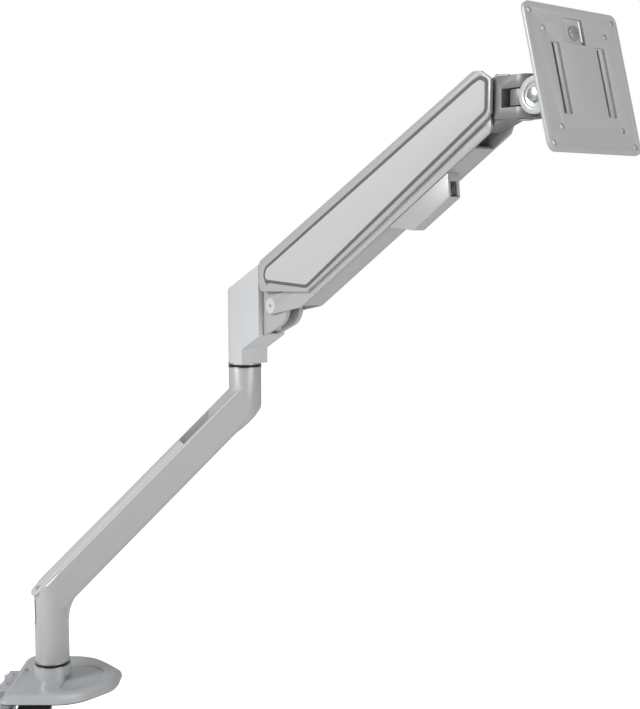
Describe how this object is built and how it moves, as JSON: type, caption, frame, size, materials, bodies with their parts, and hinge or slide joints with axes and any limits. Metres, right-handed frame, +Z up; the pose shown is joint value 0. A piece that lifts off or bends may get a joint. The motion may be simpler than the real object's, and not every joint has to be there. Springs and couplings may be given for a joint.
{
  "type": "monitor arm",
  "caption": "Gas-spring monitor arm on a desk clamp: swivelling lower arm, lifting parallelogram upper arm, tilting and turning square screen plate.",
  "frame": {"origin": "post axis on the desk's top face", "axes": "+Z up along the post, +X away from the clamped desk edge, +Y along that edge"},
  "size_m": [0.5736, 0.385, 0.7457],
  "materials": {
    "satin_silver": "satin silver powder coat",
    "arm_silver": "satin silver paint over casting",
    "shell_silver": "light satin silver paint",
    "panel_plastic": "fine-grained light grey plastic",
    "gasket": "matte grey rubber",
    "head_grey": "satin grey paint",
    "knuckle_light": "light satin paint",
    "plate_paint": "satin grey powder coat on sheet steel",
    "black_nylon": "black nylon",
    "foam_pad": "black foam rubber",
    "knob_black": "textured black plastic",
    "zinc_steel": "bright zinc plate",
    "white_steel": "bright satin",
    "dark_steel": "phosphated steel",
    "black_cylinder": "black gloss paint",
    "chrome_rod": "polished chrome"
  },
  "bodies": {
    "base": {"base_pad": "foam_pad", "base_plate": "satin_silver", "post_stub": "zinc_steel", "base_screws": "zinc_steel", "clamp_bracket": "satin_silver", "clamp_jaw": "satin_silver", "jaw_bolts": "zinc_steel", "jaw_nuts": "zinc_steel", "base_ring": "black_nylon", "base_ring_washers": "zinc_steel"},
    "clamp_pad": {"clamp_pad": "satin_silver", "clamp_pad_rubber": "foam_pad"},
    "clamp_screw": {"clamp_screw": "zinc_steel", "clamp_knob": "knob_black", "clamp_handle_pin": "zinc_steel"},
    "lower_arm": {"base_bushes": "black_nylon", "lower_arm": "arm_silver", "cable_cover": "shell_silver", "cover_screw": "zinc_steel", "elbow_bushes": "black_nylon"},
    "shoulder": {"elbow_ring": "black_nylon", "elbow_ring_washers": "zinc_steel", "elbow_shaft": "zinc_steel", "shoulder_housing": "shell_silver", "shoulder_bracket": "arm_silver", "upper_pivot_bushes": "black_nylon", "lower_pivot_pins": "white_steel"},
    "tension_screw": {"tension_screw": "dark_steel"},
    "tension_carriage": {"tension_carriage": "dark_steel", "spring_anchor_pin": "zinc_steel"},
    "gas_rod": {"gas_rod_eye": "dark_steel", "gas_rod": "chrome_rod"},
    "upper_arm": {"arm_body": "arm_silver", "near_gasket": "gasket", "far_gasket": "gasket", "near_panel": "panel_plastic", "far_panel": "panel_plastic", "gas_cylinder": "black_cylinder", "spring_saddle": "dark_steel", "saddle_pin": "zinc_steel", "upper_pivot_pin": "zinc_steel", "head_upper_pin": "zinc_steel"},
    "lower_link": {"lower_link": "arm_silver", "cable_clip": "arm_silver", "clip_screws": "zinc_steel", "head_lower_pin": "zinc_steel"},
    "head": {"head_bracket": "head_grey", "pan_pin": "zinc_steel", "pan_washers": "black_nylon"},
    "pan_knuckle": {"pan_knuckle": "head_grey"},
    "tilt_yoke": {"tilt_yoke": "knuckle_light", "tilt_bolt": "zinc_steel", "tilt_nut": "zinc_steel", "tilt_washers": "black_nylon", "rotation_pin": "zinc_steel", "rotation_washers": "black_nylon"},
    "screen_plate": {"receiver_plate": "head_grey", "vesa_plate": "plate_paint", "lock_screw": "zinc_steel"}
  },
  "joints": [
    {"name": "base_swivel", "type": "hinge", "parent": "base", "child": "lower_arm", "pos_m": [0, 0, 0.023], "axis": [0, 0, 1], "continuous": true},
    {"name": "elbow_swivel", "type": "hinge", "parent": "lower_arm", "child": "shoulder", "pos_m": [0.19242, 0.07156, 0.3167], "axis": [0, 0, 1], "continuous": true},
    {"name": "arm_lift", "type": "hinge", "parent": "shoulder", "child": "upper_arm", "pos_m": [0.23209, 0.02561, 0.4064], "axis": [-0.757, -0.6534, 0], "range_deg": [-75, 4]},
    {"name": "link_pivot", "type": "hinge", "parent": "shoulder", "child": "lower_link", "pos_m": [0.23209, 0.02561, 0.3824], "axis": [-0.757, -0.6534, 0], "range_deg": [-76, 5]},
    {"name": "head_level", "type": "hinge", "parent": "upper_arm", "child": "head", "pos_m": [0.41019, -0.18073, 0.57018], "axis": [-0.757, -0.6534, 0], "range_deg": [-5, 76]},
    {"name": "pan_swivel", "type": "hinge", "parent": "head", "child": "pan_knuckle", "pos_m": [0.43287, -0.207, 0.57018], "axis": [0, 0, 1], "range_deg": [-55, 55]},
    {"name": "tilt", "type": "hinge", "parent": "pan_knuckle", "child": "tilt_yoke", "pos_m": [0.44692, -0.22327, 0.56303], "axis": [-0.757, -0.6534, 0], "range_deg": [-60, 30]},
    {"name": "plate_turn", "type": "hinge", "parent": "tilt_yoke", "child": "screen_plate", "pos_m": [0.44692, -0.22327, 0.56303], "axis": [0.6312, -0.7312, 0.2588], "range_deg": [-90, 90]},
    {"name": "tension_travel", "type": "slide", "parent": "shoulder", "child": "tension_carriage", "axis": [0, 0, 1], "range_m": [-0.002, 0.002]},
    {"name": "tension_screw_turn", "type": "hinge", "parent": "shoulder", "child": "tension_screw", "pos_m": [0.21464, 0.04582, 0.3167], "axis": [0, 0, 1], "range_deg": [-725, 725]},
    {"name": "rod_pivot", "type": "hinge", "parent": "tension_carriage", "child": "gas_rod", "pos_m": [0.23078, 0.02713, 0.3844], "axis": [-0.757, -0.6534, 0], "range_deg": [-76, 5]},
    {"name": "clamp_travel", "type": "slide", "parent": "base", "child": "clamp_pad", "axis": [0, 0, 1], "range_m": [-0.024, 0.012]},
    {"name": "clamp_screw_turn", "type": "hinge", "parent": "clamp_pad", "child": "clamp_screw", "pos_m": [-0.02, 0, 0], "axis": [0, 0, 1], "range_deg": [-5800, 2900]}
  ],
  "couplings": [
    {"joint": "link_pivot", "follows": "arm_lift", "ratio": 1},
    {"joint": "head_level", "follows": "arm_lift", "ratio": -1},
    {"joint": "rod_pivot", "follows": "arm_lift", "ratio": 1},
    {"joint": "tension_screw_turn", "follows": "tension_travel", "rad_per_m": 6283.2},
    {"joint": "clamp_screw_turn", "follows": "clamp_travel", "rad_per_m": 4188.8}
  ]
}
